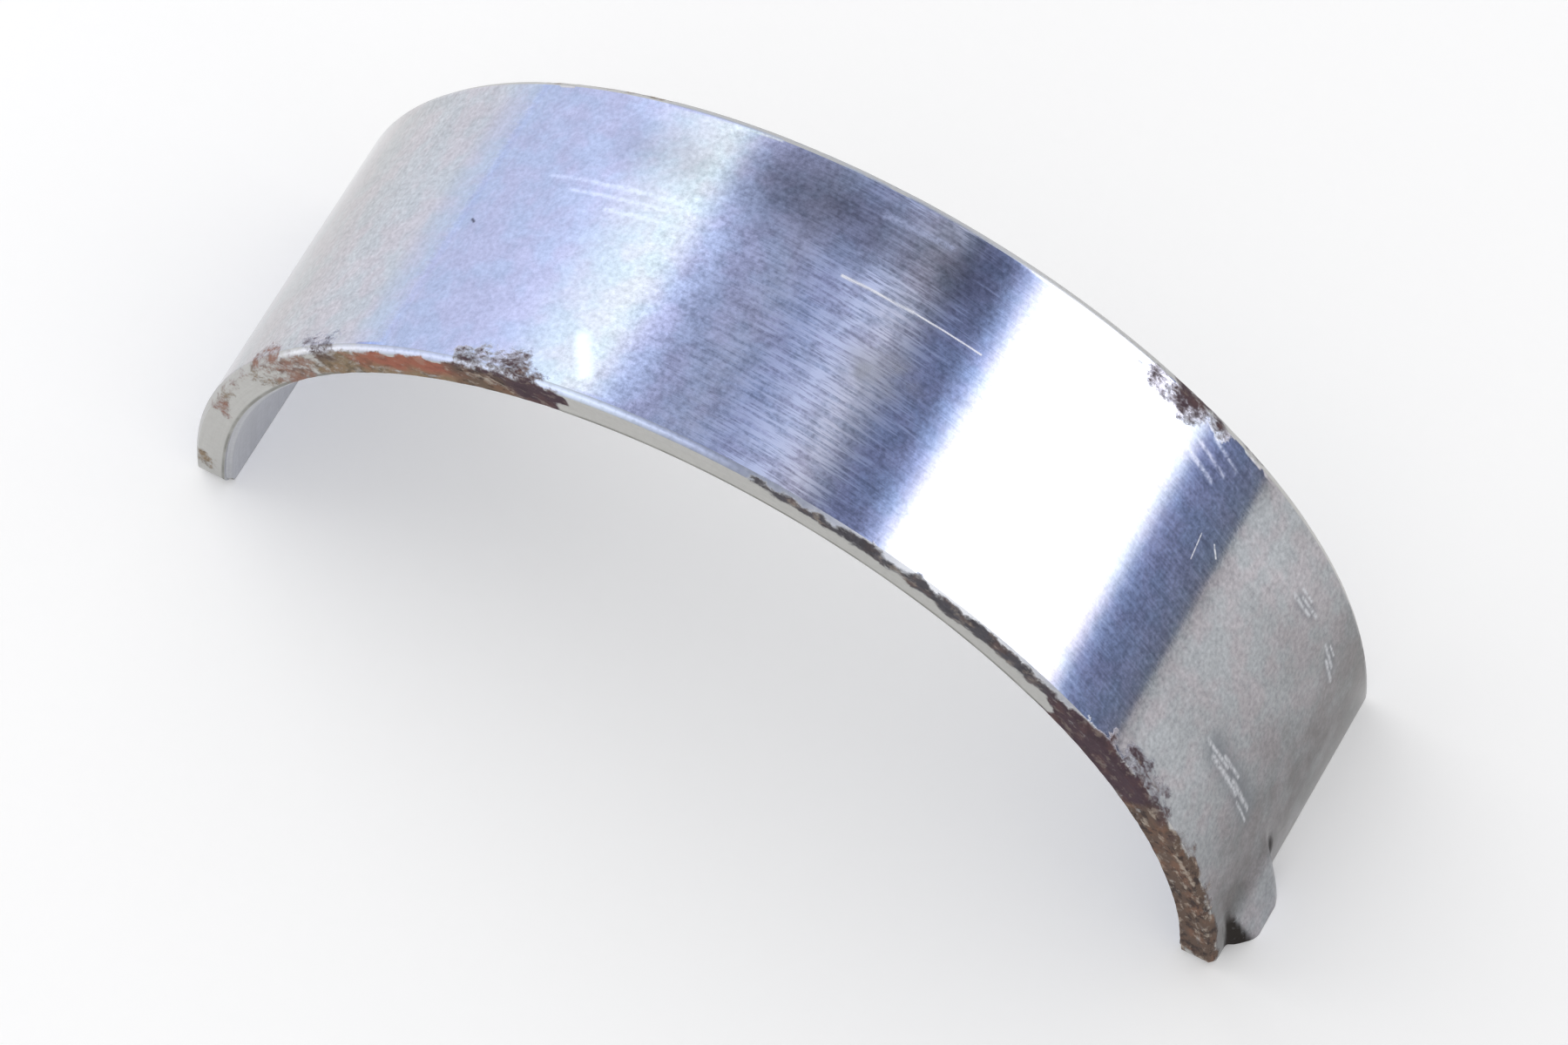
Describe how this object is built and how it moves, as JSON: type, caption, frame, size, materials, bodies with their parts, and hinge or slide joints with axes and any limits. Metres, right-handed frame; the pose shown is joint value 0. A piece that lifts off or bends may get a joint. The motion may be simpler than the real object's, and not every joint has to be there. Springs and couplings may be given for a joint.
{
  "type": "engine bearing shell",
  "caption": "Half-round thin steel bearing shell with a smooth lined bore, chamfered rims and a pressed locating tang at one parting face, for a crankshaft journal.",
  "frame": {"origin": "on the bore's axis, in the parting plane, halfway along the shell", "axes": "+Y along the bore's axis, +Z from the parting plane to the crown, +X towards the parting face that has the tang"},
  "size_m": [0.0683, 0.0198, 0.0335],
  "materials": {
    "shell_steel": "fine circumferential brushing on the back, satin bore, with rust and grime along the rims"
  },
  "bodies": {
    "root": {"bearing_shell": "shell_steel"}
  },
  "joints": []
}
